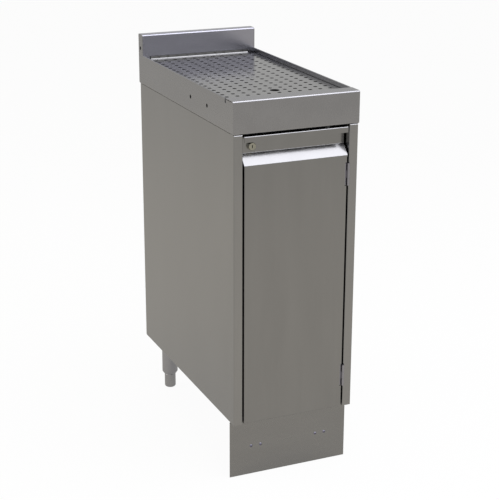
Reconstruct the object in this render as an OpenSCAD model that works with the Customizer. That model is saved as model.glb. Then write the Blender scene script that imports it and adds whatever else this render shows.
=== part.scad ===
// Underbar drainboard: a narrow stainless cabinet with a perforated drainboard top and a locking door.
// Millimetres, +Z up, origin on the floor under the middle of the whole object.
// Inside the modules Y is counted from the face of the apron, and placed() moves that to the origin.

/* [Overall] */
// Width over the skirts of the top
width = 304.8; // [290:0.1:460]
// Depth from the apron's face to the back of the backsplash
depth = 609.6; // [580:0.1:700]
// Height of the raised rim above the floor
rim_height = 908; // [860:1:960]
// Rise of the backsplash above the rim
splash_rise = 51.3; // [45:0.1:150]
// Clear height under the cabinet
base_clearance = 148; // [140:1:180]

/* [Top] */
// Sheet thickness of the top and of the backsplash
top_t = 1.5; // [1.2:0.1:1.8]
// Height of the apron and of the side skirts
skirt_h = 74; // [70:1:90]
// Depth of the flat ledge behind the apron
ledge_d = 42; // [36:1:60]
// Thickness of the boxed backsplash, front to back
splash_t = 29; // [26:1:50]
// Outside radius of the long bends
bend_r = 3.5; // [2.5:0.1:4.5]
// Width of the flange turned in along the bottom of the skirts
skirt_flange = 14; // [12:1:18]
// Length of the relief notch in the rim behind the ledge
notch_w = 3.5; // [2:0.5:6]
// Open seam under the side edge of the ledge
seam_gap = 1.2; // [0.4:0.1:1.6]

/* [Bolt holes] */
// Diameter of the holes that bolt neighbouring units together
joint_hole_d = 9; // [5:0.5:9.5]
// Distance between the two holes in each skirt
joint_hole_spacing = 101.6; // [60:0.1:140]
// Distance of the first skirt hole behind the apron's face
joint_hole_front = 149.4; // [100:0.1:200]
// Drop of the skirt holes below the rim
joint_hole_drop = 38.5; // [37:0.5:42]
// Rise of the hole in each end of the backsplash above the rim
splash_hole_rise = 16.2; // [12:0.1:30]

/* [Basin] */
// Drop from the rim to the top of the perforated insert
insert_drop = 10.5; // [6:0.5:12]
// Width of the shoulder that the insert stands on
shoulder_w = 10; // [8:1:14]
// Step from the shoulder down to the front end of the basin floor
basin_step = 3; // [2:0.5:4]
// Fall of the basin floor from its front end to the drain
basin_fall = 4; // [2:1:5]
// Distance of the drain's axis from the back of the unit
drain_from_back = 100; // [90:1:140]

/* [Perforated insert] */
// Sheet thickness of the insert
insert_t = 1.5; // [1:0.1:2]
// Height of the insert over its turned-down flanges
insert_h = 16; // [14:1:17]
// Clearance between the insert and the basin walls
insert_gap = 1.6; // [0.8:0.1:3]
// Side of the notch in each corner of the insert
corner_notch = 16; // [10:1:18]
// Height of the lip turned up along the insert's back edge
rear_lip_h = 8; // [5:0.5:10]
// Distance between neighbouring drain holes, both ways
hole_pitch = 25.4; // [18:0.1:40]
// Diameter of the drain holes
hole_d = 9.5; // [5:0.5:11]
// Least distance from the insert's edge to a row of holes
hole_margin = 17; // [14:1:24]
// Diameter of the finger hole
finger_d = 22.2; // [18:0.1:26]
// Row of the pattern, counted from the front, where the finger hole is
finger_row = 3; // [2:1:6]

/* [Drain fitting] */
// Outside diameter of the drain's flange
drain_flange_d = 60; // [54:1:66]
// Outside diameter of the threaded neck under the basin
drain_neck_d = 42; // [38:1:46]
// Outside diameter of the outlet nipple
outlet_d = 33.4; // [26.7:0.1:34]
// Bore of the outlet nipple
outlet_bore = 26.6; // [19:0.1:27]
// Length of the outlet nipple below the neck
outlet_len = 38; // [30:1:60]
// Length of the threaded neck below the basin floor
neck_len = 22; // [20:1:30]

/* [Cabinet] */
// Sheet thickness of the cabinet and of the door
body_t = 1.2; // [0.9:0.1:1.5]
// Inset of the cabinet's sides and back from the top above them
body_inset = 1.6; // [0.8:0.1:4]
// Width of the stile on each side of the door
stile_w = 21.8; // [18:0.1:32]
// Depth of the stile's return beside the door
stile_depth = 30; // [29:0.5:36]
// Width of the lip at the back of the stile's return
stile_lip = 12; // [11:0.5:15]
// Outside radius of the cabinet's bends
body_bend_r = 2.8; // [2:0.1:4]
// Width of the flange along the top and the back of the side panels
body_flange = 20; // [16:1:20]
// Height of the floor's flanges beside the side panels
floor_flange = 20; // [12:1:30]

/* [Door] */
// Gap between the door and the stiles
door_gap = 3.5; // [2.5:0.1:5]
// Gap between the door and the apron above it
door_top_gap = 5; // [3:0.1:8]
// Rise of the door's lower edge above the cabinet's underside
door_rise = 0.8; // [0.5:0.1:4]
// Thickness of the door
door_t = 25.4; // [24:0.1:27]
// Depth of the pull recess across the top of the door
pull_depth = 21; // [18:0.1:21]
// Height of the lip in front of the pull recess
lip_h = 13.5; // [8:0.5:18]
// Distance from the top of the door to the slope of the pull
pull_h = 42; // [40:0.5:60]
// Height of the slope below the recess
slope_rise = 23.5; // [20:0.5:26]

/* [Lock] */
// Distance from the door's left edge to the lock's axis
lock_from_edge = 24.5; // [22:0.5:30]
// Distance from the top of the door to the lock's axis
lock_from_top = 26.7; // [26:0.1:28]
// Diameter of the lock's collar
collar_d = 18; // [17.6:0.1:20]
// Length of the collar in front of the recess
collar_len = 8; // [4:0.5:10]
// Diameter of the turning plug
plug_d = 12; // [10:0.5:12.5]
// Reach of the cam from the lock's axis
cam_reach = 38; // [36:0.5:41]

/* [Hinges] */
// Height of each hinge
hinge_h = 51; // [40:1:76]
// Diameter of the hinge knuckles
knuckle_d = 6; // [5.6:0.1:6.4]
// Diameter of the hinge pins
pin_d = 3; // [2:0.1:3.5]
// Distance of the pin's axis in front of the door
pin_out = 2.4; // [2.2:0.1:3]
// Distance from the top of the door to the upper hinge
upper_hinge_drop = 84; // [75:1:150]
// Distance from the bottom of the door to the lower hinge
lower_hinge_rise = 54; // [20:1:120]

/* [Kick plate] */
// Setback of the kick plate behind the apron
kick_setback = 27; // [20:1:28]
// Gap between the kick plate and the floor
kick_floor_gap = 0.5; // [0.5:0.5:12]
// Inset of each end of the kick plate
kick_inset = 2.6; // [1:0.1:10]
// Distance between the two screws of a clip
kick_screw_spacing = 24; // [16:1:26]
// Distance of each screw pair inwards of the leg's axis
kick_screw_inset = 13; // [10:0.5:15]
// Height of the screws above the floor
kick_screw_z = 74; // [50:1:90]
// Diameter of the kick plate's screw heads
kick_head_d = 8; // [6:0.5:9]

/* [Legs] */
// Distance of the legs from the unit's sides
leg_from_side = 55.9; // [55:0.1:64]
// Distance of the front legs behind the apron's face
leg_from_front = 64; // [63:1:90]
// Distance of the rear legs from the back of the unit
leg_from_back = 35; // [34:0.5:80]
// Diameter of the leg tube
leg_d = 41.3; // [38:0.1:42]
// Wall of the leg tube
leg_wall = 1.6; // [1.2:0.1:2.4]
// Height of the leg tube's lower end above the floor
leg_end_z = 40; // [26:1:42]
// Side of the square plate on each leg
leg_plate = 66; // [62:1:66]
// Diameter of the bullet foot
foot_d = 29.5; // [26:0.1:32]
// Diameter of the foot's threaded stem
stem_d = 12; // [10:1:16]

/* [Hidden] */
$fn = 48;

// Colours of the finishes
steel = [0.50, 0.50, 0.48];
steel_dark = [0.38, 0.38, 0.37];
rubber = [0.10, 0.10, 0.10];

// General clearances
eps = 1;
seat = 0.2;
loose = 0.3;
running = 0.06;
small_r = 1.2;
bend_steps = 8;

// Top: lengths counted from the middle, heights from the floor
half_w = width / 2;
basin_x = half_w - 2 * top_t;
skirt_low = rim_height - skirt_h;
splash_front = depth - splash_t;
splash_top = rim_height + splash_rise;
insert_top = rim_height - insert_drop;
shoulder_z = insert_top - insert_h;
well_x = basin_x - shoulder_w;
well_y0 = ledge_d + shoulder_w;
well_y1 = splash_front - shoulder_w;
floor_front_z = shoulder_z - basin_step;
drain_z = floor_front_z - basin_fall;
drain_y = depth - drain_from_back;
drain_flat = drain_flange_d / 2 + 4;
rear_rise = 2;
joint_hole_z = rim_height - joint_hole_drop;
splash_hole_z = rim_height + splash_hole_rise;
splash_hole_shift = 1.6;
splash_hole_y = depth - splash_t / 2 + splash_hole_shift;

// Insert
rear_lip_r = 2.5;
insert_x = basin_x - insert_gap;
insert_y0 = ledge_d + insert_gap;
insert_y1 = splash_front - insert_gap;
hole_cols = floor((2 * insert_x - 2 * hole_margin) / hole_pitch) + 1;
hole_rows = floor((insert_y1 - insert_y0 - 2 * hole_margin) / hole_pitch) + 1;
insert_mid_y = (insert_y0 + insert_y1) / 2;
finger_x = (floor((hole_cols - 1) / 2) - (hole_cols - 1) / 2) * hole_pitch;
finger_y = insert_mid_y + (finger_row - 1 - (hole_rows - 1) / 2) * hole_pitch;

// Drain fitting
drain_flange_t = 2;
drain_lip_h = 1.2;
strainer_d = drain_flange_d - 12;
gasket_t = 3;
gasket_d = drain_flange_d - 2;
locknut_t = 8;
locknut_d = drain_flange_d + 4;
neck_bore = 34;
neck_floor_t = 3;
strainer_hole_d = 4;
strainer_ring = 6.5;
neck_end_z = drain_z - neck_len;
outlet_end_z = neck_end_z - outlet_len;

// Cabinet
body_x = half_w - body_inset;
open_x = body_x - stile_w;
body_back = depth - body_inset;
body_top = skirt_low - loose;
floor_top_z = base_clearance + body_t;
header_drop = 15.5;
header_low = body_top - body_t - header_drop;
header_front = door_t + 2;
header_foot = 13;
front_header_d = 30;
rear_header_d = 32;
strike_t = 1.5;
strike_drop = 20;
strike_rise = 14;
screw_inset = 7.5;
screw_x = body_x - screw_inset;
first_screw_y = 100;
last_screw_from_back = 110;
screw_ys = [first_screw_y, depth / 2, depth - last_screw_from_back];
top_screw_d = 4.8;
top_screw_head_h = 3.5;
top_screw_head_r = 4.6;
top_screw_end = 6;
grommet_hole_d = 42;
grommet_bore = 35;
grommet_brim = 4;
grommet_lip = 2.5;

// Door
door_x = open_x - door_gap;
door_low = base_clearance + door_rise;
door_top = skirt_low - door_top_gap;
slope_top = door_top - pull_h;
slope_low = slope_top - slope_rise;
flat_top = slope_low - 2;
pull_r = 1.5;
door_edge_r = 2;
bumper_d = 10;
bumper_inset = 14;
bumper_x = door_x - bumper_inset;
bumper_rise = 7.5;
bumper_z = header_low + bumper_rise;
hinge_notch_w = 5.7;
hinge_notch_d = body_t + 3.5;
hinge_notch_gap = 1.2;

// Lock
lock_x = -door_x + lock_from_edge;
lock_z = door_top - lock_from_top;
barrel_d = 16;
barrel_back = door_t + 6.3;
lock_nut_af = 22;
lock_nut_t = 4.5;
cam_t = 2;
cam_front = barrel_back + 0.3;
cam_w = 14;
cam_hub_d = 18;
drive_sq = 7;
cam_screw_d = 4;
cam_screw_head_d = 10;
cam_screw_head_h = 2.4;
cam_screw_reach = 7;
plug_sink = 0.4;
keyway_w = 2;
keyway_h = 7.5;
keyway_depth = 10;
collar_edge = 0.9;

// Hinges
pin_x = open_x - door_gap / 2;
knuckle_r = knuckle_d / 2;
leaf_t = 1.5;
leaf_reach = 22;
frame_leaf_y = stile_depth - 8;
leaf_inset = 1.5;
leaf_gap = 0.5;
pin_head_h = 0.8;
upper_hinge_z = door_top - upper_hinge_drop - hinge_h;
lower_hinge_z = door_low + lower_hinge_rise;
knuckle_gap = 0.2;
proud = pin_out + knuckle_r;

// Kick plate
kick_x = half_w - kick_inset;
kick_return = 9;
kick_lip = 3;
kick_relief = 7;
kick_back = kick_setback + body_t;
kick_screw_d = 4;
kick_screw_end = 4;
kick_head_h = kick_head_d * 0.28;
hex_socket_r = 1.7;
hex_socket_floor = 0.3;
clip_gap = 0.15;
clip_t = 1.5;
clip_margin = 10;
clip_w = kick_screw_spacing + 2 * clip_margin;
clip_h = 36;

// Legs
leg_x = half_w - leg_from_side;
leg_plate_t = 3;
leg_plate_z = base_clearance - leg_plate_t;
leg_bolt_d = 6;
leg_head_r = 5.8;
leg_head_h = 5;
leg_nut_h = 4;
leg_taper_h = 6;
leg_mouth_gap = 0.4;
backing_margin = 4;
backing_side = leg_plate - 2 * backing_margin;
kick_top_gap = 0.5;
kick_top = leg_plate_z - kick_top_gap;
kick_screw_x = leg_x - kick_screw_inset;
leg_bolt_inset = 8;
leg_bolt_offset = leg_plate / 2 - leg_bolt_inset;
plug_z = 60;
plug_t = 14;
foot_top = leg_end_z + 4;
foot_r = foot_d / 2;
foot_edge_r = 5;
foot_shoulder = 3;
stem_top = 104;
rear_leg_y = depth - leg_from_back;
LEG_PLACES = [
    [-leg_x, leg_from_front], [leg_x, leg_from_front],
    [-leg_x, rear_leg_y], [leg_x, rear_leg_y]
];

// Unit vector, and the vector turned a quarter turn to the left
function unit(v) = v / norm(v);
function left_of(v) = [-v[1], v[0]];
function turned(v, a) = [v[0] * cos(a) - v[1] * sin(a), v[0] * sin(a) + v[1] * cos(a)];
function turn_angle(a, b) = atan2(a[0] * b[1] - a[1] * b[0], a[0] * b[0] + a[1] * b[1]);
function reversed(v) = [for (i = [len(v) - 1:-1:0]) v[i]];

// Points of one bend of a sheet, on its left side (side = 1) or its right side (side = -1)
function bend_points(a, b, c, t, r_in, side) =
    let (
        d = unit(b - a),
        angle = turn_angle(d, unit(c - b)),
        s = sign(angle),
        mid_r = r_in + t / 2,
        tangent = mid_r * tan(abs(angle) / 2),
        centre = b - d * tangent + left_of(d) * s * mid_r,
        r = mid_r - side * s * t / 2,
        steps = max(1, ceil(bend_steps * abs(angle) / 90))
    )
    [for (i = [0:steps]) centre - s * r * left_of(turned(d, angle * i / steps))];

// One side of a folded sheet whose middle line runs through the points of path
function sheet_side(path, t, r_in, side) =
    let (
        n = len(path) - 1,
        first = path[0] + left_of(unit(path[1] - path[0])) * side * t / 2,
        last = path[n] + left_of(unit(path[n] - path[n - 1])) * side * t / 2
    )
    concat(
        [first],
        [for (i = [1:1:n - 1]) each bend_points(path[i - 1], path[i], path[i + 1], t, r_in, side)],
        [last]
    );

// Outline of a folded sheet of thickness t with inside bend radius r_in
function folded(path, t, r_in) =
    concat(sheet_side(path, t, r_in, 1), reversed(sheet_side(path, t, r_in, -1)));

// Moves the part from the apron's face to the middle of its footprint
module placed() {
    translate([0, -(depth - proud) / 2, 0]) children();
}

// Extrusions: the 2D shape is drawn in (Y, Z), in (X, Z) and in (X, Y)
module along_x(x0, x1) {
    translate([x0, 0, 0]) rotate([90, 0, 90]) linear_extrude(x1 - x0) children();
}
module along_y(y0, y1) {
    translate([0, y1, 0]) rotate([90, 0, 0]) linear_extrude(y1 - y0) children();
}
module along_z(z0, z1) {
    translate([0, 0, z0]) linear_extrude(z1 - z0) children();
}

// Round bars and holes along each axis
module rod_x(x0, x1, y, z, r) {
    translate([x0, y, z]) rotate([0, 90, 0]) cylinder(h = x1 - x0, r = r);
}
module rod_y(x, y0, y1, z, r) {
    translate([x, y1, z]) rotate([90, 0, 0]) cylinder(h = y1 - y0, r = r);
}
module rod_z(x, y, z0, z1, r) {
    translate([x, y, z0]) cylinder(h = z1 - z0, r = r);
}
module block(low, high) {
    translate(low) cube(high - low);
}
module both_sides() {
    children();
    mirror([1, 0, 0]) children();
}

// Top: apron, ledge and side skirts, with the walls that the hemmed rim turns down into
module drainboard_top() color(steel) {
    difference() {
        union() {
            apron_and_ledge();
            both_sides() {
                skirt();
                block(
                    [basin_x, ledge_d - eps, shoulder_z],
                    [half_w - top_t, splash_front, rim_height - top_t]
                );
            }
        }
        both_sides() {
            block(
                [half_w - top_t, ledge_d - bend_r, insert_top],
                [half_w + eps, ledge_d + notch_w, rim_height + eps]
            );
            for (i = [0, 1])
                rod_x(basin_x, half_w + eps, joint_hole_front + i * joint_hole_spacing, joint_hole_z,
                    joint_hole_d / 2);
            for (y = screw_ys)
                rod_z(screw_x, y, skirt_low - eps, skirt_low + top_t + eps, top_screw_d / 2 + seat);
        }
    }
}
module apron_and_ledge() {
    m = top_t / 2;
    flat_end = ledge_d - bend_r;
    apron = [
        [skirt_flange, skirt_low + m], [m, skirt_low + m], [m, rim_height - m], [flat_end, rim_height - m]
    ];
    wall = [[flat_end - eps, rim_height - m], [ledge_d - m, rim_height - m], [ledge_d - m, shoulder_z]];
    along_x(-half_w, half_w) polygon(folded(apron, top_t, bend_r - top_t));
    along_x(-basin_x - top_t, basin_x + top_t) polygon(folded(wall, top_t, bend_r - top_t));
}

// Basin pan: a flat shoulder round a sunk floor that slopes to the drain, pressed from one sheet
module basin_pan() color(steel) {
    difference() {
        union() {
            block(
                [-half_w + top_t, ledge_d - top_t, shoulder_z - top_t],
                [half_w - top_t, splash_front, shoulder_z]
            );
            well(top_t, 0);
        }
        well(0, eps);
        rod_z(0, drain_y, drain_z - 2 * top_t, drain_z + eps, drain_neck_d / 2 + loose);
    }
}
// The sunk part: grow is the wall added round it, lift opens it upwards
module well(grow, lift) {
    low = [
        [well_y0 - grow, floor_front_z - grow],
        [drain_y - drain_flat, drain_z - grow],
        [drain_y + drain_flat, drain_z - grow],
        [well_y1 + grow, drain_z + rear_rise - grow],
        [well_y1 + grow, shoulder_z + lift],
        [well_y0 - grow, shoulder_z + lift]
    ];
    along_x(-well_x - grow, well_x + grow) polygon(low);
}
module skirt() {
    m = top_t / 2;
    path = [
        [half_w - skirt_flange, skirt_low + m], [half_w - m, skirt_low + m], [half_w - m, rim_height - top_t]
    ];
    difference() {
        along_y(top_t, depth) polygon(folded(path, top_t, bend_r - top_t));
        block(
            [half_w - top_t, 2 * bend_r, rim_height - top_t - seam_gap],
            [half_w + eps, ledge_d, rim_height - top_t]
        );
        block(
            [half_w - skirt_flange - eps, depth - skirt_flange - loose, skirt_low - eps],
            [half_w - top_t, depth + eps, skirt_low + bend_r]
        );
    }
    rod_y(half_w - top_t, ledge_d + notch_w, splash_front, rim_height - top_t, top_t);
    block([half_w - top_t, splash_front, rim_height - top_t], [half_w, depth, rim_height]);
}

// Backsplash: one sheet folded into a box, open below
module backsplash() color(steel) {
    m = top_t / 2;
    path = [
        [splash_front + m, shoulder_z - top_t],
        [splash_front + m, splash_top - m],
        [depth - m, splash_top - m],
        [depth - m, skirt_low + m],
        [depth - skirt_flange, skirt_low + m]
    ];
    along_x(-half_w + top_t, half_w - top_t) polygon(folded(path, top_t, bend_r - top_t));
}
module backsplash_end() {
    difference() {
        along_x(-half_w, -half_w + top_t) {
            translate([splash_front, rim_height]) square([splash_t, splash_rise - bend_r]);
            translate([splash_front + bend_r, rim_height]) square([splash_t - 2 * bend_r, splash_rise]);
            for (y = [splash_front + bend_r, depth - bend_r])
                translate([y, splash_top - bend_r]) circle(r = bend_r);
        }
        rod_x(-half_w - eps, -half_w + top_t + eps, splash_hole_y, splash_hole_z, joint_hole_d / 2);
    }
}
module backsplash_end_left() color(steel) backsplash_end();
module backsplash_end_right() color(steel) mirror([1, 0, 0]) backsplash_end();

// Insert: a perforated sheet, three edges turned down, the back edge turned up, the corners notched
module perforated_insert() color(steel) {
    plate_x = insert_x - bend_r;
    plate_y0 = insert_y0 + bend_r;
    plate_y1 = insert_y1 - insert_t - rear_lip_r;
    along_z(insert_top - insert_t, insert_top) difference() {
        translate([-plate_x, plate_y0]) square([2 * plate_x, plate_y1 - plate_y0]);
        for (x = [-insert_x, insert_x], y = [insert_y0, insert_y1])
            translate([x, y]) square(2 * corner_notch, center = true);
        for (i = [0:hole_cols - 1], j = [0:hole_rows - 1]) {
            x = (i - (hole_cols - 1) / 2) * hole_pitch;
            y = insert_mid_y + (j - (hole_rows - 1) / 2) * hole_pitch;
            if (norm([x - finger_x, y - finger_y]) > finger_d / 2 + hole_d / 2)
                translate([x, y]) circle(d = hole_d);
        }
        translate([finger_x, finger_y]) circle(d = finger_d);
    }
    m = insert_t / 2;
    both_sides() along_y(insert_y0 + corner_notch, insert_y1 - corner_notch)
        polygon(folded([
            [plate_x - m, insert_top - m], [insert_x - m, insert_top - m], [insert_x - m, shoulder_z]
        ], insert_t, bend_r - insert_t));
    along_x(-insert_x + corner_notch, insert_x - corner_notch) {
        polygon(folded([
            [plate_y0 + m, insert_top - m], [insert_y0 + m, insert_top - m], [insert_y0 + m, shoulder_z]
        ], insert_t, bend_r - insert_t));
        polygon(folded([
            [plate_y1 - m, insert_top - m], [insert_y1 - m, insert_top - m],
            [insert_y1 - m, insert_top + rear_lip_h]
        ], insert_t, rear_lip_r));
    }
}

// Drain fitting: flanged body, strainer, gasket and locknut
module drain_body() color(steel) {
    flange_z = drain_z + drain_flange_t;
    translate([0, drain_y, 0]) difference() {
        union() {
            rod_z(0, 0, drain_z, flange_z, drain_flange_d / 2);
            rod_z(0, 0, neck_end_z, flange_z, drain_neck_d / 2);
            rod_z(0, 0, outlet_end_z, neck_end_z, outlet_d / 2);
        }
        rod_z(0, 0, flange_z - drain_lip_h, flange_z + eps, strainer_d / 2 + seat);
        rod_z(0, 0, neck_end_z + neck_floor_t, flange_z, neck_bore / 2);
        rod_z(0, 0, outlet_end_z - eps, flange_z, outlet_bore / 2);
    }
}
module drain_strainer() color(steel) {
    low = drain_z + drain_flange_t - drain_lip_h;
    translate([0, drain_y, 0]) along_z(low, low + drain_lip_h) difference() {
        circle(d = strainer_d);
        for (ring = [1, 2], i = [0:6 * ring - 1])
            rotate(i * 60 / ring) translate([ring * strainer_ring, 0]) circle(d = strainer_hole_d);
    }
}
module drain_gasket() color(rubber) {
    top = drain_z - top_t;
    translate([0, drain_y, 0]) along_z(top - gasket_t, top) difference() {
        circle(d = gasket_d);
        circle(d = drain_neck_d + 2 * seat);
    }
}
module drain_locknut() color(steel_dark) {
    top = drain_z - top_t - gasket_t;
    translate([0, drain_y, 0]) along_z(top - locknut_t, top) difference() {
        circle(d = locknut_d, $fn = 6);
        circle(d = drain_neck_d + 2 * running);
    }
}

// Hat channel welded across the underside of the basin
module basin_stiffener() color(steel) {
    fall_angle = atan(basin_fall / (drain_y - drain_flat - well_y0));
    y = (well_y0 + drain_y) / 2;
    z = floor_front_z - top_t - tan(fall_angle) * (y - well_y0);
    m = body_t / 2 + seat;
    hat_w = 18;
    hat_h = 16;
    brim = 14;
    end_x = well_x - 6;
    path = [
        [-hat_w - brim, -m], [-hat_w, -m], [-hat_w, -hat_h], [hat_w, -hat_h], [hat_w, -m], [hat_w + brim, -m]
    ];
    translate([0, y, z]) rotate([-fall_angle, 0, 0])
        along_x(-end_x, end_x) polygon(folded(path, body_t, small_r));
}

// Side panel with its stile, return and lip at the front and a return at the back, seen on the left
module side_panel() {
    m = body_t / 2;
    r_in = body_bend_r - body_t;
    path = [
        [-open_x - stile_lip, stile_depth - m],
        [-open_x - m, stile_depth - m],
        [-open_x - m, m],
        [-body_x + m, m],
        [-body_x + m, body_back - m],
        [-body_x + body_flange, body_back - m]
    ];
    difference() {
        union() {
            along_z(base_clearance, body_top) polygon(folded(path, body_t, r_in));
            block(
                [-body_x + m, stile_depth, body_top - body_t],
                [-body_x + body_flange, body_back - m, body_top]
            );
            block([-body_x + m, m, body_top - body_t], [-open_x - m, stile_depth, body_top]);
        }
        along_x(-body_x - eps, -open_x + eps) difference() {
            translate([-eps, body_top - body_bend_r]) square([body_bend_r + eps, body_bend_r + eps]);
            translate([body_bend_r, body_top - body_bend_r]) circle(r = body_bend_r);
        }
        for (y = screw_ys)
            rod_z(-screw_x, y, body_top - 2 * body_t, body_top + eps, top_screw_d / 2 + seat);
    }
}
module side_panel_left() color(steel) side_panel();
module side_panel_right() color(steel) mirror([1, 0, 0]) side_panel();

// Back panel in front of the side panels' rear returns
module back_panel() color(steel) {
    back = body_back - body_t;
    side = body_x - body_bend_r - seat;
    block([-side, back - body_t, base_clearance], [side, back, body_top - body_t]);
}

// Floor between the side panels, its flanges turned up beside them and behind the door
module cabinet_floor() color(steel) {
    m = body_t / 2;
    side = body_x - body_t - m;
    path = [
        [-side, base_clearance + floor_flange], [-side, base_clearance + m],
        [side, base_clearance + m], [side, base_clearance + floor_flange]
    ];
    front = [
        [header_front + m, base_clearance + floor_flange], [header_front + m, base_clearance + m],
        [stile_depth + 2 * eps, base_clearance + m]
    ];
    difference() {
        union() {
            along_y(stile_depth + loose, body_back - body_bend_r) polygon(folded(path, body_t, small_r));
            along_x(-open_x + loose, open_x - loose) polygon(folded(front, body_t, small_r));
        }
        for (p = LEG_PLACES) leg_bolt_holes(p, base_clearance - eps, floor_top_z + eps);
        rod_z(0, drain_y, base_clearance - eps, floor_top_z + eps, grommet_hole_d / 2 + seat);
    }
}

// Cross members under the top
module header(front, back, low) {
    m = body_t / 2;
    top = body_top - body_t - m;
    end = body_x - body_t - seat;
    along_x(-end, end)
        polygon(folded([[back, top], [front + m, top], [front + m, low + m], [front + header_foot, low + m]],
            body_t, body_bend_r - body_t));
}
module front_header() color(steel) {
    difference() {
        header(header_front, header_front + front_header_d, header_low);
        both_sides() block(
            [open_x - loose, header_front - eps, header_low - eps],
            [body_x, stile_depth + loose, body_top]
        );
    }
}
module rear_header() color(steel) {
    back = body_back - 2 * body_t;
    translate([0, back, 0]) mirror([0, 1, 0]) header(0, rear_header_d, header_low);
}

// Strike behind the left lip for the lock's cam
module strike_plate() color(steel_dark) {
    block(
        [-open_x - stile_lip, stile_depth, lock_z - strike_drop],
        [-open_x - body_t, stile_depth + strike_t, lock_z + strike_rise]
    );
}

// Rubber stops on the front header
module door_bumpers() color(rubber) {
    both_sides() rod_y(bumper_x, door_t + loose, header_front, bumper_z, bumper_d / 2);
}

// Screws up through the side panels' flanges into the skirts' flanges
module top_screws() color(steel_dark) {
    low = body_top - body_t;
    both_sides() for (y = screw_ys) {
        translate([screw_x, y, low - top_screw_head_h])
            cylinder(h = top_screw_head_h, r = top_screw_head_r, $fn = 6);
        rod_z(screw_x, y, low, skirt_low + top_t + top_screw_end, top_screw_d / 2);
    }
}

// Grommet for the drain hose in the cabinet floor
module hose_grommet() color(rubber) {
    low = base_clearance - grommet_lip;
    high = floor_top_z + grommet_lip;
    translate([0, drain_y, 0]) difference() {
        union() {
            along_z(low, high) circle(d = grommet_hole_d);
            along_z(floor_top_z + running, high) circle(d = grommet_hole_d + 2 * grommet_brim);
            along_z(low, base_clearance - running) circle(d = grommet_hole_d + 2 * grommet_brim);
        }
        rod_z(0, 0, low - eps, high + eps, grommet_bore / 2);
    }
}

// Door skin: flat front with turned edges, slope, recess and lip of the full-width pull
module door_skin() color(steel) {
    m = body_t / 2;
    r_in = body_bend_r - body_t;
    edge = door_t - body_t;
    front = [[-door_x + m, edge], [-door_x + m, m], [door_x - m, m], [door_x - m, edge]];
    pull = [
        [m, flat_top], [m, slope_low], [pull_depth + m, slope_top], [pull_depth + m, door_top - m],
        [m, door_top - m], [m, door_top - lip_h]
    ];
    side = [
        [m, flat_top], [m, slope_low], [pull_depth + m, slope_top], [pull_depth + m, door_top - body_t],
        [door_t - body_t, door_top - body_t], [door_t - body_t, flat_top - eps], [m, flat_top - eps]
    ];
    difference() {
        union() {
            along_z(door_low, flat_top) polygon(folded(front, body_t, r_in));
            along_x(-door_x, door_x) polygon(folded(pull, body_t, pull_r));
            both_sides() along_x(door_x - body_t, door_x) polygon(side);
            block([-door_x + m, m, door_low], [door_x - m, door_t - body_t, door_low + body_t]);
        }
        along_x(-door_x - eps, door_x + eps) difference() {
            translate([-eps, door_low - eps]) square(door_edge_r + eps);
            translate([door_edge_r, door_low + door_edge_r]) circle(r = door_edge_r);
        }
        rod_y(lock_x, pull_depth - eps, pull_depth + 2 * body_t, lock_z, barrel_d / 2 + seat);
        for (z = [upper_hinge_z, lower_hinge_z])
            block(
                [door_x - hinge_notch_w, -eps, z - hinge_notch_gap],
                [door_x + eps, hinge_notch_d, z + hinge_h + hinge_notch_gap]
            );
    }
}

// Door liner: the inner sheet that closes the door's back, its upper edge turned forwards
module door_liner() color(steel) {
    m = body_t / 2;
    path = [[door_t - m, door_low], [door_t - m, door_top - m], [pull_depth + body_t, door_top - m]];
    difference() {
        along_x(-door_x, door_x) polygon(folded(path, body_t, loose));
        rod_y(lock_x, door_t - 2 * body_t, door_t + eps, lock_z, barrel_d / 2 + seat);
    }
}

// Lock: collar and barrel, turning plug, cam, cam screw and nut
module lock_housing() color(steel) {
    difference() {
        union() {
            translate([lock_x, pull_depth, lock_z]) rotate([90, 0, 0]) rotate_extrude() polygon([
                [0, 0], [collar_d / 2, 0], [collar_d / 2, collar_len - collar_edge],
                [collar_d / 2 - collar_edge, collar_len], [0, collar_len]
            ]);
            rod_y(lock_x, pull_depth, barrel_back, lock_z, barrel_d / 2);
        }
        rod_y(lock_x, pull_depth - collar_len - eps, barrel_back + eps, lock_z, plug_d / 2 + running);
    }
}
module lock_plug() color(steel_dark) {
    front = pull_depth - collar_len + plug_sink;
    difference() {
        union() {
            rod_y(lock_x, front, barrel_back + running, lock_z, plug_d / 2);
            block(
                [lock_x - drive_sq / 2, barrel_back, lock_z - drive_sq / 2],
                [lock_x + drive_sq / 2, cam_front + cam_t, lock_z + drive_sq / 2]
            );
        }
        block(
            [lock_x - keyway_w / 2, front - eps, lock_z - keyway_h / 2],
            [lock_x + keyway_w / 2, front + keyway_depth, lock_z + keyway_h / 2]
        );
        rod_y(lock_x, cam_front - cam_screw_reach - eps, cam_front + cam_t + eps, lock_z,
            cam_screw_d / 2 + running);
    }
}
module lock_cam() color(steel_dark) {
    tip = cam_reach - cam_w / 2;
    along_y(cam_front, cam_front + cam_t) translate([lock_x, lock_z]) difference() {
        union() {
            circle(d = cam_hub_d);
            translate([-cam_w / 2, -tip]) square([cam_w, tip]);
            translate([0, -tip]) circle(d = cam_w);
        }
        square(drive_sq + seat, center = true);
    }
}
module lock_cam_screw() color(steel) {
    back = cam_front + cam_t;
    rod_y(lock_x, back, back + cam_screw_head_h, lock_z, cam_screw_head_d / 2);
    rod_y(lock_x, cam_front - cam_screw_reach, back, lock_z, cam_screw_d / 2);
}
module lock_nut() color(steel_dark) {
    difference() {
        translate([lock_x, door_t + lock_nut_t, lock_z]) rotate([90, 0, 0])
            cylinder(h = lock_nut_t, r = lock_nut_af / sqrt(3), $fn = 6);
        rod_y(lock_x, door_t - eps, door_t + lock_nut_t + eps, lock_z, barrel_d / 2 + running);
    }
}

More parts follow.
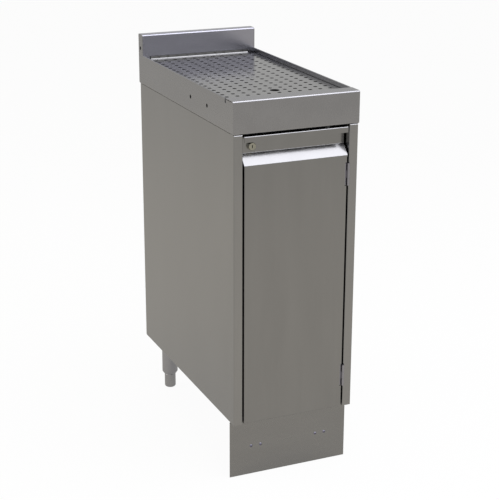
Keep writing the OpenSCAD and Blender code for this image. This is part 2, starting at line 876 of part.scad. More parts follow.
// Hinges: a leaf on the stile's return, a leaf behind the door skin and a pull-out pin
module hinge_barrel(z0, z1, bore) {
    difference() {
        children();
        rod_z(pin_x, -pin_out, z0 - eps, z1 + eps, bore);
    }
}
module hinge_frame_leaf(z) {
    knuckle = hinge_h / 3;
    leaf_x = open_x - leaf_t;
    for (k = [0, 2]) {
        low = z + k * knuckle;
        high = low + knuckle - (k == 0 ? knuckle_gap : 0);
        hinge_barrel(low, high, pin_d / 2) union() {
            rod_z(pin_x, -pin_out, low, high, knuckle_r);
            block([leaf_x, -pin_out, low], [open_x, frame_leaf_y, high]);
        }
    }
    block([leaf_x, knuckle_r + leaf_inset, z], [open_x, frame_leaf_y, z + hinge_h]);
}
module hinge_door_leaf(z) {
    knuckle = hinge_h / 3;
    low = z + knuckle;
    high = low + knuckle - knuckle_gap;
    hinge_barrel(low, high, pin_d / 2 + running) union() {
        rod_z(pin_x, -pin_out, low, high, knuckle_r);
        block([pin_x - knuckle_r, -pin_out, low], [pin_x - leaf_gap, body_t + leaf_t, high]);
        block([door_x - leaf_reach, body_t, low], [pin_x - leaf_gap, body_t + leaf_t, high]);
    }
    block([door_x - leaf_reach, body_t, z], [door_x - leaf_inset, body_t + leaf_t, z + hinge_h]);
}
module hinge_pin(z) {
    rod_z(pin_x, -pin_out, z - leaf_gap, z + hinge_h, pin_d / 2);
    rod_z(pin_x, -pin_out, z + hinge_h, z + hinge_h + pin_head_h, knuckle_r - running);
}
module upper_hinge_frame_leaf() color(steel) hinge_frame_leaf(upper_hinge_z);
module upper_hinge_door_leaf() color(steel) hinge_door_leaf(upper_hinge_z);
module upper_hinge_pin() color(steel) hinge_pin(upper_hinge_z);
module lower_hinge_frame_leaf() color(steel) hinge_frame_leaf(lower_hinge_z);
module lower_hinge_door_leaf() color(steel) hinge_door_leaf(lower_hinge_z);
module lower_hinge_pin() color(steel) hinge_pin(lower_hinge_z);

// Kick plate with its clips and screws
module kick_plate() color(steel) {
    m = body_t / 2;
    face = kick_setback + m;
    path = [
        [kick_back + kick_return, kick_floor_gap + m], [face, kick_floor_gap + m],
        [face, kick_top - m], [kick_back + kick_lip, kick_top - m]
    ];
    difference() {
        along_x(-kick_x, kick_x) polygon(folded(path, body_t, body_bend_r - body_t));
        both_sides() {
            kick_screw_holes();
            block(
                [kick_x - kick_relief, kick_back, 0],
                [kick_x + eps, kick_back + kick_return + eps, kick_top + eps]
            );
        }
    }
}
module kick_screw_holes() {
    for (s = [-1, 1])
        rod_y(kick_screw_x + s * kick_screw_spacing / 2, kick_setback - eps, kick_back + clip_t + eps,
            kick_screw_z, kick_screw_d / 2 + seat);
}
module kick_clip() {
    ring_r = leg_d / 2 + clip_gap;
    low = kick_screw_z - clip_h / 2;
    edge = kick_screw_x + clip_w / 2;
    difference() {
        union() {
            block([edge - clip_w, kick_back, low], [edge, kick_back + clip_t, low + clip_h]);
            block([edge - clip_t, kick_back, low], [edge, leg_from_front - ring_r / 2, low + clip_h]);
            along_z(low, low + clip_h) translate([leg_x, leg_from_front]) difference() {
                circle(r = ring_r + clip_t);
                translate([-ring_r - 2 * clip_t, ring_r / 2]) square(2 * ring_r + 4 * clip_t);
            }
        }
        rod_z(leg_x, leg_from_front, low - eps, low + clip_h + eps, ring_r);
        kick_screw_holes();
    }
}
module kick_clip_left() color(steel_dark) mirror([1, 0, 0]) kick_clip();
module kick_clip_right() color(steel_dark) kick_clip();
module kick_screws() color(steel) {
    dome_r = (pow(kick_head_d / 2, 2) + pow(kick_head_h, 2)) / (2 * kick_head_h);
    both_sides() for (s = [-1, 1]) {
        x = kick_screw_x + s * kick_screw_spacing / 2;
        difference() {
            union() {
                intersection() {
                    translate([x, kick_setback - kick_head_h + dome_r, kick_screw_z]) sphere(r = dome_r);
                    rod_y(x, kick_setback - kick_head_h - eps, kick_setback, kick_screw_z, kick_head_d / 2);
                }
                rod_y(x, kick_setback, kick_back + clip_t + kick_screw_end, kick_screw_z, kick_screw_d / 2);
            }
            translate([x, kick_setback - hex_socket_floor, kick_screw_z]) rotate([90, 0, 0])
                cylinder(h = kick_head_h, r = hex_socket_r, $fn = 6);
        }
    }
}

// Legs: flanged tubes with a threaded plug, bolted through the floor to a backing plate
module leg_bolt_holes(p, z0, z1) {
    for (dx = [-1, 1], dy = [-1, 1])
        rod_z(p[0] + dx * leg_bolt_offset, p[1] + dy * leg_bolt_offset, z0, z1, leg_bolt_d / 2 + loose);
}
module leg_backing_plates() color(steel_dark) {
    for (p = LEG_PLACES) difference() {
        translate([p[0] - backing_side / 2, p[1] - backing_side / 2, floor_top_z])
            cube([backing_side, backing_side, leg_plate_t]);
        leg_bolt_holes(p, floor_top_z - eps, floor_top_z + leg_plate_t + eps);
    }
}
module leg_bolts() color(steel_dark) {
    top = floor_top_z + leg_plate_t;
    for (p = LEG_PLACES, dx = [-1, 1], dy = [-1, 1]) {
        x = p[0] + dx * leg_bolt_offset;
        y = p[1] + dy * leg_bolt_offset;
        translate([x, y, leg_plate_z - leg_nut_h]) cylinder(h = leg_nut_h, r = leg_head_r, $fn = 6);
        rod_z(x, y, leg_plate_z - eps, top + eps, leg_bolt_d / 2);
        translate([x, y, top]) cylinder(h = leg_head_h, r = leg_head_r, $fn = 6);
    }
}
module leg(p) {
    r = leg_d / 2;
    mouth = foot_r + leg_mouth_gap;
    translate([p[0], p[1], 0]) difference() {
        union() {
            translate([-leg_plate / 2, -leg_plate / 2, leg_plate_z])
                cube([leg_plate, leg_plate, leg_plate_t]);
            rotate_extrude() polygon([
                [mouth, leg_end_z], [mouth + leg_wall, leg_end_z], [r, leg_end_z + leg_taper_h],
                [r, leg_plate_z + eps], [r - leg_wall, leg_plate_z + eps],
                [r - leg_wall, leg_end_z + leg_taper_h]
            ]);
            rod_z(0, 0, plug_z, plug_z + plug_t, r - leg_wall / 2);
        }
        rod_z(0, 0, plug_z - eps, plug_z + plug_t + eps, stem_d / 2 + running);
        leg_bolt_holes([0, 0], leg_plate_z - eps, leg_plate_z + leg_plate_t + eps);
    }
}
module foot(p) {
    centre = foot_r - foot_edge_r;
    translate([p[0], p[1], 0]) rotate_extrude() polygon(concat(
        [[0, 0], [centre, 0]],
        [for (a = [-75:15:0]) [centre + foot_edge_r * cos(a), foot_edge_r + foot_edge_r * sin(a)]],
        [[foot_r, foot_top - 2 * foot_shoulder], [foot_r - foot_shoulder, foot_top]],
        [[stem_d / 2, foot_top], [stem_d / 2, stem_top], [0, stem_top]]
    ));
}
module leg_front_left() color(steel) leg(LEG_PLACES[0]);
module leg_front_right() color(steel) leg(LEG_PLACES[1]);
module leg_rear_left() color(steel) leg(LEG_PLACES[2]);
module leg_rear_right() color(steel) leg(LEG_PLACES[3]);
module foot_front_left() color(steel_dark) foot(LEG_PLACES[0]);
module foot_front_right() color(steel_dark) foot(LEG_PLACES[1]);
module foot_rear_left() color(steel_dark) foot(LEG_PLACES[2]);
module foot_rear_right() color(steel_dark) foot(LEG_PLACES[3]);

placed() drainboard_top();
placed() basin_pan();
placed() backsplash();
placed() backsplash_end_left();
placed() backsplash_end_right();
placed() perforated_insert();
placed() drain_body();
placed() drain_strainer();
placed() drain_gasket();
placed() drain_locknut();
placed() basin_stiffener();
placed() side_panel_left();
placed() side_panel_right();
placed() back_panel();
placed() cabinet_floor();
placed() front_header();
placed() rear_header();
placed() strike_plate();
placed() door_bumpers();
placed() top_screws();
placed() hose_grommet();
placed() door_skin();
placed() door_liner();
placed() lock_housing();
placed() lock_plug();
placed() lock_cam();
placed() lock_cam_screw();
placed() lock_nut();
placed() upper_hinge_frame_leaf();
placed() upper_hinge_door_leaf();
placed() upper_hinge_pin();
placed() lower_hinge_frame_leaf();
placed() lower_hinge_door_leaf();
placed() lower_hinge_pin();
placed() kick_plate();
placed() kick_clip_left();
placed() kick_clip_right();
placed() kick_screws();
placed() leg_backing_plates();
placed() leg_bolts();
placed() leg_front_left();
placed() leg_front_right();
placed() leg_rear_left();
placed() leg_rear_right();
placed() foot_front_left();
placed() foot_front_right();
placed() foot_rear_left();
placed() foot_rear_right();
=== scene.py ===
import math

import bmesh
import bpy
from mathutils import Matrix, Vector


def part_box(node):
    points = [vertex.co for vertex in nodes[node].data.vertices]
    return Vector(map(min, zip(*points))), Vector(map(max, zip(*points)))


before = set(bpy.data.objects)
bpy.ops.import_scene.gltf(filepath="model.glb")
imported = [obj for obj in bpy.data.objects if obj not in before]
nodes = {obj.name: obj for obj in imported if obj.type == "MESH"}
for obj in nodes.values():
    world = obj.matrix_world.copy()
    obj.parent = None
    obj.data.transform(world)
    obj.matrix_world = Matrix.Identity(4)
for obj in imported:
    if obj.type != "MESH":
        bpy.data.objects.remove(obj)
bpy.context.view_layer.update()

# Cabinet shell: two folded side panels with their stiles, a back panel, a floor and two cross members.
# 18 gauge stainless sheet, folded on a press brake and spot welded from inside.
# Its satin finish was ground with a belt, which leaves fine streaks along each sheet.
MM = 0.001
SHELL_LIGHT = "#9e9e9f"
SHELL_DARK = "#99999a"
SHELL_ROUGH = (0.22, 0.27)
CABINET_FLOOR_ROUGH = (0.24, 0.30)
CABINET_FLOOR_SCUFFS = 0.08


def linear(hex_colour):
    """An sRGB hex colour as the linear colour that shaders take, with full alpha."""
    channels = [int(hex_colour[i : i + 2], 16) / 255 for i in (1, 3, 5)]
    return [c / 12.92 if c <= 0.04045 else ((c + 0.055) / 1.055) ** 2.4 for c in channels] + [1.0]


def add(tree, kind, inputs=None, **settings):
    """One node with its settings; each input is a value or the socket that feeds it."""
    node = tree.nodes.new(kind)
    for key, value in settings.items():
        setattr(node, key, value)
    for key, value in (inputs or {}).items():
        if isinstance(value, bpy.types.NodeSocket):
            tree.links.new(value, node.inputs[key])
        else:
            node.inputs[key].default_value = value
    return node


def new_material(name):
    """An empty material: the material itself and its node tree."""
    made = bpy.data.materials.new(name)
    made.use_nodes = True
    made.node_tree.nodes.clear()
    return made, made.node_tree


def finish(tree, share, low_colour, high_colour, dullness, height, strength, depth_mm, metallic=1.0):
    """Ends a material with its shader, whose colour, roughness and relief follow patterns.

    share goes from low_colour at 0 to high_colour at 1, dullness is the roughness, and height
    raises the surface by up to depth_mm, as far as strength lets it.
    """
    # On a Mix node of colours, inputs 6 and 7 are the two colours and output 2 is the result.
    colour = add(
        tree,
        "ShaderNodeMix",
        {"Factor": share, 6: linear(low_colour), 7: linear(high_colour)},
        data_type="RGBA",
    )
    relief = add(
        tree,
        "ShaderNodeBump",
        {"Height": height, "Strength": strength, "Distance": depth_mm * MM},
    )
    shader = add(
        tree,
        "ShaderNodeBsdfPrincipled",
        {
            "Base Color": colour.outputs[2],
            "Metallic": metallic,
            "Roughness": dullness,
            "Normal": relief.outputs[0],
        },
    )
    add(tree, "ShaderNodeOutputMaterial", {"Surface": shader.outputs[0]})


def brushed_stainless(name, grain, light, dark, rough, scuffs=0.0):
    """Stainless sheet ground along one axis, for pieces whose gloss or tone differs.

    The eye sees long hairlines along the grain, soft clouds where the belt pressed harder, and,
    where scuffs is above 0, small dull flecks from things that slid over it.
    """
    # Real hairlines are about 0.1 mm wide; they are drawn 0.7 mm wide, so that they just show.
    streak_mm, streak_length_mm = 0.7, 70
    streak_strength, streak_depth_mm = 0.02, 0.02
    cloud_mm, cloud_length_mm = 45, 260
    scuff_mm, scuff_length_mm = 1.5, 22
    # The sum of streaks and clouds lies mostly between these two values.
    mixed_low, mixed_high = 0.7, 1.3
    # A fleck starts where its noise passes the first of these and is full at the second.
    scuff_from, scuff_full = 0.62, 0.72
    along = "XYZ".index(grain)
    # Flecks are drawn out along the axis after the grain's, which makes short marks on the folds.
    drawn_out = (along + 1) % 3
    fine = [1 / (streak_mm * MM)] * 3
    fine[along] = 1 / (streak_length_mm * MM)
    soft = [1 / (cloud_mm * MM)] * 3
    soft[along] = 1 / (cloud_length_mm * MM)
    marks = [1 / (scuff_mm * MM)] * 3
    marks[drawn_out] = 1 / (scuff_length_mm * MM)
    made, tree = new_material(name)
    place = add(tree, "ShaderNodeTexCoord").outputs["Object"]
    fine_place = add(tree, "ShaderNodeMapping", {"Vector": place, "Scale": fine})
    soft_place = add(tree, "ShaderNodeMapping", {"Vector": place, "Scale": soft})
    mark_place = add(tree, "ShaderNodeMapping", {"Vector": place, "Scale": marks})
    streaks = add(
        tree,
        "ShaderNodeTexNoise",
        {"Vector": fine_place.outputs[0], "Scale": 1.0, "Detail": 3.0, "Roughness": 0.6},
    )
    clouds = add(
        tree,
        "ShaderNodeTexNoise",
        {"Vector": soft_place.outputs[0], "Scale": 1.0, "Detail": 2.0},
    )
    flecks = add(
        tree,
        "ShaderNodeTexNoise",
        {"Vector": mark_place.outputs[0], "Scale": 1.0, "Detail": 1.0},
    )
    mixed = add(tree, "ShaderNodeMath", {0: streaks.outputs[0], 1: clouds.outputs[0]}, operation="ADD")
    share = add(
        tree,
        "ShaderNodeMapRange",
        {
            "Value": mixed.outputs[0],
            "From Min": mixed_low,
            "From Max": mixed_high,
            "To Min": 0.0,
            "To Max": 1.0,
        },
    )
    ground = add(
        tree,
        "ShaderNodeMapRange",
        {
            "Value": mixed.outputs[0],
            "From Min": mixed_low,
            "From Max": mixed_high,
            "To Min": rough[0],
            "To Max": rough[1],
        },
    )
    scuffed = add(
        tree,
        "ShaderNodeMapRange",
        {
            "Value": flecks.outputs[0],
            "From Min": scuff_from,
            "From Max": scuff_full,
            "To Min": 0.0,
            "To Max": scuffs,
        },
    )
    dullness = add(tree, "ShaderNodeMath", {0: ground.outputs[0], 1: scuffed.outputs[0]}, operation="ADD")
    finish(
        tree,
        share.outputs[0],
        dark,
        light,
        dullness.outputs[0],
        streaks.outputs[0],
        streak_strength,
        streak_depth_mm,
    )
    return made


def dress(material, *names):
    """Gives CAD nodes their material."""
    for name in names:
        mesh = nodes[name].data
        mesh.materials.clear()
        mesh.materials.append(material)


upright_sheet = brushed_stainless("brushed_stainless_upright", "Z", SHELL_LIGHT, SHELL_DARK, SHELL_ROUGH)
cross_sheet = brushed_stainless("brushed_stainless_crosswise", "X", SHELL_LIGHT, SHELL_DARK, SHELL_ROUGH)
floor_sheet = brushed_stainless(
    "brushed_stainless_floor", "Y", SHELL_LIGHT, SHELL_DARK, CABINET_FLOOR_ROUGH, CABINET_FLOOR_SCUFFS
)
dress(upright_sheet, "side_panel_left", "side_panel_right", "back_panel")
dress(cross_sheet, "front_header", "rear_header")
dress(floor_sheet, "cabinet_floor")

# Legs: four drawn stainless tubes, each welded to a square plate that bolts up through the floor.
# The tube was polished along its length and is a little lighter and duller than the sheets.
LEG_LIGHT = "#b1b1b5"
LEG_DARK = "#a9a9ad"
LEG_ROUGH = (0.26, 0.32)
leg_tube = brushed_stainless("polished_stainless_tube", "Z", LEG_LIGHT, LEG_DARK, LEG_ROUGH)
dress(leg_tube, "leg_front_left", "leg_front_right", "leg_rear_left", "leg_rear_right")

# Feet: bullet feet turned from stainless bar, screwed into the plug welded in each tube.
# The lathe leaves fine rings round them, drawn coarser here, and the eye sees a soft, even sheen.
FOOT_LIGHT = "#b4b4b6"
FOOT_DARK = "#adadb0"
FOOT_ROUGH = (0.26, 0.32)
RING_MM = 0.9
RING_DRIFT_MM = 50
RING_STRENGTH = 0.05
RING_DEPTH_MM = 0.03
# Most of a noise pattern lies between these two values.
NOISE_LOW = 0.3
NOISE_HIGH = 0.7
turned_stainless, tree = new_material("turned_stainless")
place = add(tree, "ShaderNodeTexCoord").outputs["Object"]
drift = 1 / (RING_DRIFT_MM * MM)
stretched = add(tree, "ShaderNodeMapping", {"Vector": place, "Scale": (drift, drift, 1 / (RING_MM * MM))})
rings = add(
    tree,
    "ShaderNodeTexNoise",
    {"Vector": stretched.outputs[0], "Scale": 1.0, "Detail": 2.0, "Roughness": 0.6},
)
dullness = add(
    tree,
    "ShaderNodeMapRange",
    {
        "Value": rings.outputs[0],
        "From Min": NOISE_LOW,
        "From Max": NOISE_HIGH,
        "To Min": FOOT_ROUGH[0],
        "To Max": FOOT_ROUGH[1],
    },
)
finish(
    tree,
    rings.outputs[0],
    FOOT_DARK,
    FOOT_LIGHT,
    dullness.outputs[0],
    rings.outputs[0],
    RING_STRENGTH,
    RING_DEPTH_MM,
)
dress(turned_stainless, "foot_front_left", "foot_front_right", "foot_rear_left", "foot_rear_right")

# Hidden hardware: backing plates, leg bolts, top screws, strike, kick plate clips and locknut.
# Mild steel, stamped or cold headed, then zinc plated: a cool grey with a faint yellow bloom and grit.
ZINC_COOL = "#8f9195"
ZINC_BLOOM = "#99958a"
ZINC_ROUGH = (0.30, 0.42)
BLOOM_MM = 9
# The bloom starts where its noise passes the first of these and is full at the second.
BLOOM_FROM = 0.4
BLOOM_FULL = 0.65
GRIT_MM = 0.8
GRIT_STRENGTH = 0.2
GRIT_DEPTH_MM = 0.03
zinc_plate, tree = new_material("zinc_plated_steel")
place = add(tree, "ShaderNodeTexCoord").outputs["Object"]
bloom = add(tree, "ShaderNodeTexNoise", {"Vector": place, "Scale": 1 / (BLOOM_MM * MM), "Detail": 3.0})
grit = add(tree, "ShaderNodeTexNoise", {"Vector": place, "Scale": 1 / (GRIT_MM * MM), "Detail": 2.0})
yellowed = add(
    tree,
    "ShaderNodeMapRange",
    {
        "Value": bloom.outputs[0],
        "From Min": BLOOM_FROM,
        "From Max": BLOOM_FULL,
        "To Min": 0.0,
        "To Max": 1.0,
    },
)
dullness = add(
    tree,
    "ShaderNodeMapRange",
    {
        "Value": grit.outputs[0],
        "From Min": NOISE_LOW,
        "From Max": NOISE_HIGH,
        "To Min": ZINC_ROUGH[0],
        "To Max": ZINC_ROUGH[1],
    },
)
finish(
    tree,
    yellowed.outputs[0],
    ZINC_COOL,
    ZINC_BLOOM,
    dullness.outputs[0],
    grit.outputs[0],
    GRIT_STRENGTH,
    GRIT_DEPTH_MM,
)
dress(
    zinc_plate,
    "leg_backing_plates",
    "leg_bolts",
    "top_screws",
    "strike_plate",
    "kick_clip_left",
    "kick_clip_right",
    "drain_locknut",
)

# Top: apron, ledge and hemmed skirts from one sheet, with the pressed basin pan spot welded inside,
# its stiffener under it and the end plates of the backsplash welded on behind.
# 16 gauge stainless, its corners welded and ground flush, ground front to back and a little duller.
TOP_LIGHT = "#a1a1a4"
TOP_DARK = "#9c9c9f"
TOP_ROUGH = (0.25, 0.29)
TOP_SCUFFS = 0.05
top_sheet = brushed_stainless("brushed_stainless_top", "Y", TOP_LIGHT, TOP_DARK, TOP_ROUGH, TOP_SCUFFS)
dress(
    top_sheet,
    "drainboard_top",
    "basin_pan",
    "basin_stiffener",
    "backsplash_end_left",
    "backsplash_end_right",
)

# Backsplash: one sheet folded into a box behind the basin and welded to its two end plates.
# The same stainless as the top, ground across; its colour is painted brighter and bluer than all the
# other sheets, as painted light that lifts its reflection in the insert.
SPLASH_LIGHT = "#aeaeb9"
SPLASH_DARK = "#aaaab5"
SPLASH_ROUGH = (0.22, 0.27)
splash_sheet = brushed_stainless("brushed_stainless_splash", "X", SPLASH_LIGHT, SPLASH_DARK, SPLASH_ROUGH)
dress(splash_sheet, "backsplash")

# Perforated insert: a punched and folded stainless sheet that lifts out of the basin.
# Ground front to back, darker and glossier than the top, and flecked by the glasses set on it.
# The walls of its holes are painted near black as the shade inside them, and left dull where the punch
# tore them, so each hole reads as a dark dot.
INSERT_LIGHT = "#99999a"
INSERT_DARK = "#939394"
INSERT_ROUGH = (0.14, 0.18)
INSERT_SCUFFS = 0.06
# The hole walls' colour is painted shade, standing in for the shadow inside each hole.
HOLE_WALL_PAINTED_SHADE = "#3c3c3e"
TORN_ROUGHNESS = 0.55
# The plate is 1.5 mm thick, and its top stands 16 mm above the insert's lower edge.
PLATE_MM = 1.5
PLATE_TOP_MM = 16
# A point counts as a hole's wall where its normal rises by less than LEVEL_NORMAL and it lies
# within PLATE_REACH of the plate's thickness from the plate's middle.
LEVEL_NORMAL = 0.3
PLATE_REACH = 0.55
lower_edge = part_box("perforated_insert")[0].z
plate_middle = lower_edge + (PLATE_TOP_MM - PLATE_MM / 2) * MM
insert_sheet = brushed_stainless(
    "brushed_stainless_insert", "Y", INSERT_LIGHT, INSERT_DARK, INSERT_ROUGH, INSERT_SCUFFS
)
tree = insert_sheet.node_tree
ground_face = tree.nodes["Principled BSDF"]
place = add(tree, "ShaderNodeTexCoord").outputs["Object"]
height = add(tree, "ShaderNodeSeparateXYZ", {"Vector": place}).outputs["Z"]
normal = add(tree, "ShaderNodeNewGeometry").outputs["True Normal"]
rise = add(tree, "ShaderNodeSeparateXYZ", {"Vector": normal}).outputs["Z"]
lean = add(tree, "ShaderNodeMath", {0: rise}, operation="ABSOLUTE")
upright = add(tree, "ShaderNodeMath", {0: lean.outputs[0], 1: LEVEL_NORMAL}, operation="LESS_THAN")
in_plate = add(
    tree,
    "ShaderNodeMath",
    {0: height, 1: plate_middle, 2: PLATE_REACH * PLATE_MM * MM},
    operation="COMPARE",
)
hole_wall = add(
    tree,
    "ShaderNodeMath",
    {0: upright.outputs[0], 1: in_plate.outputs[0]},
    operation="MULTIPLY",
)
# The hole walls get the painted shade colour, with the dull roughness of the torn wall.
shaded_hole_wall_face = add(
    tree,
    "ShaderNodeBsdfPrincipled",
    {"Base Color": linear(HOLE_WALL_PAINTED_SHADE), "Metallic": 1.0, "Roughness": TORN_ROUGHNESS},
)
punched = add(
    tree,
    "ShaderNodeMixShader",
    {0: hole_wall.outputs[0], 1: ground_face.outputs[0], 2: shaded_hole_wall_face.outputs[0]},
)
tree.links.new(punched.outputs[0], tree.nodes["Material Output"].inputs["Surface"])
dress(insert_sheet, "perforated_insert")

# Drain fitting: a flanged body with its outlet nipple, and a strainer disc dropped into its recess.
# Stainless, pressed and turned, then polished bright, so it mirrors the basin round it.
DRAIN_LIGHT = "#a9a9aa"
DRAIN_DARK = "#a0a0a2"
DRAIN_ROUGH = (0.12, 0.18)
drain_metal = brushed_stainless("polished_stainless_fitting", "X", DRAIN_LIGHT, DRAIN_DARK, DRAIN_ROUGH)
dress(drain_metal, "drain_body", "drain_strainer")

# Door: a skin with the full-width pull folded into it and a liner spot welded behind.
# 18 gauge stainless like the shell, ground upright and a little glossier; its colour is painted a shade
# darker than the shell's, as painted shade on the front.
DOOR_LIGHT = "#959596"
DOOR_DARK = "#909091"
DOOR_ROUGH = (0.18, 0.22)
door_sheet = brushed_stainless("brushed_stainless_door", "Z", DOOR_LIGHT, DOOR_DARK, DOOR_ROUGH)
dress(door_sheet, "door_skin", "door_liner")

# Hinges: a leaf welded to the stile's return, a leaf behind the door skin and a pull-out pin.
# Stainless, rolled and deburred: a cool, slightly bluish grey beside the neutral ground sheets.
LEAF_LIGHT = "#a5a4ac"
LEAF_DARK = "#9d9ca4"
LEAF_ROUGH = (0.24, 0.30)
leaf_metal = brushed_stainless("rolled_stainless", "Z", LEAF_LIGHT, LEAF_DARK, LEAF_ROUGH)
dress(
    leaf_metal,
    "upper_hinge_frame_leaf",
    "upper_hinge_door_leaf",
    "upper_hinge_pin",
    "lower_hinge_frame_leaf",
    "lower_hinge_door_leaf",
    "lower_hinge_pin",
)

# Lock: a cam lock through the back wall of the pull, held by a nut behind the door.
# Die-cast zinc, barrel polished and satin nickel plated: a warm grey with a soft, even gloss.
NICKEL_LIGHT = "#b0afa3"
NICKEL_DARK = "#a8a79b"
NICKEL_ROUGH = (0.24, 0.34)
MOTTLE_MM = 1.5
MOTTLE_STRENGTH = 0.1
MOTTLE_DEPTH_MM = 0.02
satin_nickel, tree = new_material("satin_nickel_plate")
place = add(tree, "ShaderNodeTexCoord").outputs["Object"]
mottle = add(tree, "ShaderNodeTexNoise", {"Vector": place, "Scale": 1 / (MOTTLE_MM * MM), "Detail": 3.0})
dullness = add(
    tree,
    "ShaderNodeMapRange",
    {
        "Value": mottle.outputs[0],
        "From Min": NOISE_LOW,
        "From Max": NOISE_HIGH,
        "To Min": NICKEL_ROUGH[0],
        "To Max": NICKEL_ROUGH[1],
    },
)
finish(
    tree,
    mottle.outputs[0],
    NICKEL_DARK,
    NICKEL_LIGHT,
    dullness.outputs[0],
    mottle.outputs[0],
    MOTTLE_STRENGTH,
    MOTTLE_DEPTH_MM,
)
dress(satin_nickel, "lock_housing", "lock_plug", "lock_cam", "lock_cam_screw", "lock_nut")

# Kick plate: a folded stainless sheet, screwed to two clips that snap round the front legs.
# Ground across, with flecks where shoes and mops scuffed it; its colour is painted darker than the
# shell's, as painted shade low on the front.
KICK_LIGHT = "#969697"
KICK_DARK = "#919192"
KICK_ROUGH = (0.22, 0.27)
KICK_SCUFFS = 0.05
kick_sheet = brushed_stainless(
    "brushed_stainless_kick", "X", KICK_LIGHT, KICK_DARK, KICK_ROUGH, KICK_SCUFFS
)
dress(kick_sheet, "kick_plate")

# Kick plate screws: stainless button heads with a hexagon socket.
# Cold headed and tumbled, which leaves them darker, duller and bluer than the ground sheet.
SCREW_LIGHT = "#9391a0"
SCREW_DARK = "#858392"
SCREW_ROUGH = (0.28, 0.36)
screw_steel = brushed_stainless("tumbled_stainless", "X", SCREW_LIGHT, SCREW_DARK, SCREW_ROUGH)
dress(screw_steel, "kick_screws")

# Rubber pieces: drain gasket, door stops and the grommet for the drain hose.
# Moulded nitrile rubber, near black and matt, with a fine skin and a little chalky dust in it.
RUBBER = "#1c1c1d"
RUBBER_DUST = "#2b2a29"
RUBBER_ROUGH = (0.55, 0.75)
SKIN_MM = 1.2
SKIN_STRENGTH = 0.3
SKIN_DEPTH_MM = 0.05
DUST_MM = 11
rubber, tree = new_material("moulded_nitrile_rubber")
place = add(tree, "ShaderNodeTexCoord").outputs["Object"]
skin = add(tree, "ShaderNodeTexNoise", {"Vector": place, "Scale": 1 / (SKIN_MM * MM), "Detail": 4.0})
dust = add(tree, "ShaderNodeTexNoise", {"Vector": place, "Scale": 1 / (DUST_MM * MM), "Detail": 3.0})
dullness = add(
    tree,
    "ShaderNodeMapRange",
    {
        "Value": dust.outputs[0],
        "From Min": NOISE_LOW,
        "From Max": NOISE_HIGH,
        "To Min": RUBBER_ROUGH[0],
        "To Max": RUBBER_ROUGH[1],
    },
)
finish(
    tree,
    dust.outputs[0],
    RUBBER,
    RUBBER_DUST,
    dullness.outputs[0],
    skin.outputs[0],
    SKIN_STRENGTH,
    SKIN_DEPTH_MM,
    metallic=0.0,
)
dress(rubber, "drain_gasket", "door_bumpers", "hose_grommet")

# Studio floor: a wide sheet of pale background paper, warm enough to tone what the steel mirrors.
# The camera sees it bleached to white, with the object's faint shadow on it. Mirrored in the steel,
# it is three fifths paper and two fifths white.
PAPER = "#a89f89"
BLEACHED_PAPER = "#f2f2f2"
PAPER_HALF_M = 14
SEEN_WHITE = 0.95
MIRRORED_WHITE = 0.40
floor_mesh = bpy.data.meshes.new("studio_floor")
sheet = bmesh.new()
bmesh.ops.create_grid(sheet, x_segments=1, y_segments=1, size=PAPER_HALF_M)
sheet.to_mesh(floor_mesh)
sheet.free()
floor = bpy.data.objects.new("studio_floor", floor_mesh)
bpy.context.scene.collection.objects.link(floor)
paper, tree = new_material("background_paper")
path = add(tree, "ShaderNodeLightPath").outputs
lit = add(tree, "ShaderNodeBsdfDiffuse", {"Color": linear(PAPER)})
bleached = add(tree, "ShaderNodeBsdfDiffuse", {"Color": linear(BLEACHED_PAPER)})
white = add(tree, "ShaderNodeEmission", {"Color": (1, 1, 1, 1), "Strength": 1.0})
mirrored = add(
    tree,
    "ShaderNodeMath",
    {0: path["Is Glossy Ray"], 1: path["Is Transmission Ray"]},
    operation="MAXIMUM",
)
mirrored_white = add(
    tree,
    "ShaderNodeMath",
    {0: mirrored.outputs[0], 1: MIRRORED_WHITE},
    operation="MULTIPLY",
)
reflected = add(
    tree,
    "ShaderNodeMixShader",
    {0: mirrored_white.outputs[0], 1: lit.outputs[0], 2: white.outputs[0]},
)
seen = add(tree, "ShaderNodeMixShader", {0: SEEN_WHITE, 1: bleached.outputs[0], 2: white.outputs[0]})
surface = add(
    tree,
    "ShaderNodeMixShader",
    {0: path["Is Camera Ray"], 1: reflected.outputs[0], 2: seen.outputs[0]},
)
add(tree, "ShaderNodeOutputMaterial", {"Surface": surface.outputs[0]})
floor_mesh.materials.append(paper)

# Studio air: white where the camera sees it, and an even, soft light on all that is matt.
# Where the steel mirrors it, a quarter of it is white and the rest is the room's soft light.
ROOM_LIGHT = "#f2f1ee"
ROOM_STRENGTH = 0.53
MIRRORED_AIR_WHITE = 0.26
world = bpy.data.worlds.new("studio")
world.use_nodes = True
bpy.context.scene.world = world
tree = world.node_tree
tree.nodes.clear()
path = add(tree, "ShaderNodeLightPath").outputs
white = add(tree, "ShaderNodeBackground", {"Color": (1, 1, 1, 1), "Strength": 1.0})
room = add(tree, "ShaderNodeBackground", {"Color": linear(ROOM_LIGHT), "Strength": ROOM_STRENGTH})
mirrored = add(
    tree,
    "ShaderNodeMath",
    {0: path["Is Glossy Ray"], 1: path["Is Transmission Ray"]},
    operation="MAXIMUM",
)
white_share = add(
    tree,
    "ShaderNodeMath",
    {0: mirrored.outputs[0], 1: MIRRORED_AIR_WHITE, 2: path["Is Camera Ray"]},
    operation="MULTIPLY_ADD",
)
shown = add(
    tree,
    "ShaderNodeMixShader",
    {0: white_share.outputs[0], 1: room.outputs[0], 2: white.outputs[0]},
)
add(tree, "ShaderNodeOutputWorld", {"Surface": shown.outputs[0]})

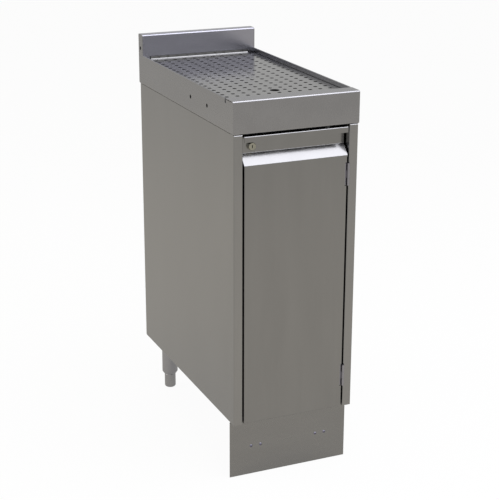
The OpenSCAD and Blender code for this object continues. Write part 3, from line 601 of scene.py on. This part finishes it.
# Lamps: a broad softbox overhead, mirrored in the bends and the pull, and a smaller one beyond
# the left side that lights the paper which that side mirrors. Both are cloth boxes round a flash.
OVERHEAD_PLACE = (0.9, -1.5, 2.6)
OVERHEAD_AIM = (0.8, -1.4, 0.8)
OVERHEAD_SIZE_M = 3.0
OVERHEAD_RADIANCE = 2.72
OVERHEAD_COLOUR = "#f8f8ff"
LEFT_PLACE = (-2.6, 1.2, 1.7)
LEFT_AIM = (-1.0, 1.6, 0.0)
LEFT_SIZE_M = 2.0
LEFT_RADIANCE = 2.6
LEFT_COLOUR = "#fffcf4"


def softbox(name, place, aim, size, radiance, colour):
    """A square lamp of that radiance and colour at place, turned to face aim."""
    lamp = bpy.data.lights.new(name, "AREA")
    lamp.shape = "SQUARE"
    lamp.size = size
    lamp.energy = radiance * math.pi * size * size
    lamp.color = linear(colour)[:3]
    made = bpy.data.objects.new(name, lamp)
    made.location = place
    made.rotation_euler = (Vector(place) - Vector(aim)).to_track_quat("Z", "Y").to_euler()
    bpy.context.scene.collection.objects.link(made)


softbox(
    "overhead_softbox", OVERHEAD_PLACE, OVERHEAD_AIM, OVERHEAD_SIZE_M, OVERHEAD_RADIANCE, OVERHEAD_COLOUR
)
softbox("rear_left_softbox", LEFT_PLACE, LEFT_AIM, LEFT_SIZE_M, LEFT_RADIANCE, LEFT_COLOUR)

# Camera: standing to the left of the front and looking a little down, as in the photograph.
# Its place, angles and focal length are the fit to corners and holes of the object.
CAMERA_PLACE = (-1.23175, -2.86577, 1.51999)
CAMERA_AZIMUTH = -0.411472
CAMERA_ELEVATION = 0.326962
CAMERA_ROLL = 0.003128
FOCAL_PX = 1335.2
IMAGE_SIZE = (499, 500)
SENSOR_MM = 36
back = Vector(
    (
        math.sin(CAMERA_AZIMUTH) * math.cos(CAMERA_ELEVATION),
        -math.cos(CAMERA_AZIMUTH) * math.cos(CAMERA_ELEVATION),
        math.sin(CAMERA_ELEVATION),
    )
)
level_right = Vector((0, 0, 1)).cross(back).normalized()
level_up = back.cross(level_right)
right = math.cos(CAMERA_ROLL) * level_right + math.sin(CAMERA_ROLL) * level_up
up = math.cos(CAMERA_ROLL) * level_up - math.sin(CAMERA_ROLL) * level_right
lens = bpy.data.cameras.new("camera")
lens.sensor_width = SENSOR_MM
lens.lens = FOCAL_PX / max(IMAGE_SIZE) * SENSOR_MM
camera = bpy.data.objects.new("camera", lens)
camera.matrix_world = Matrix.Translation(CAMERA_PLACE) @ Matrix((right, up, back)).transposed().to_4x4()
bpy.context.scene.collection.objects.link(camera)
bpy.context.scene.camera = camera
bpy.context.scene.view_settings.view_transform = "Standard"
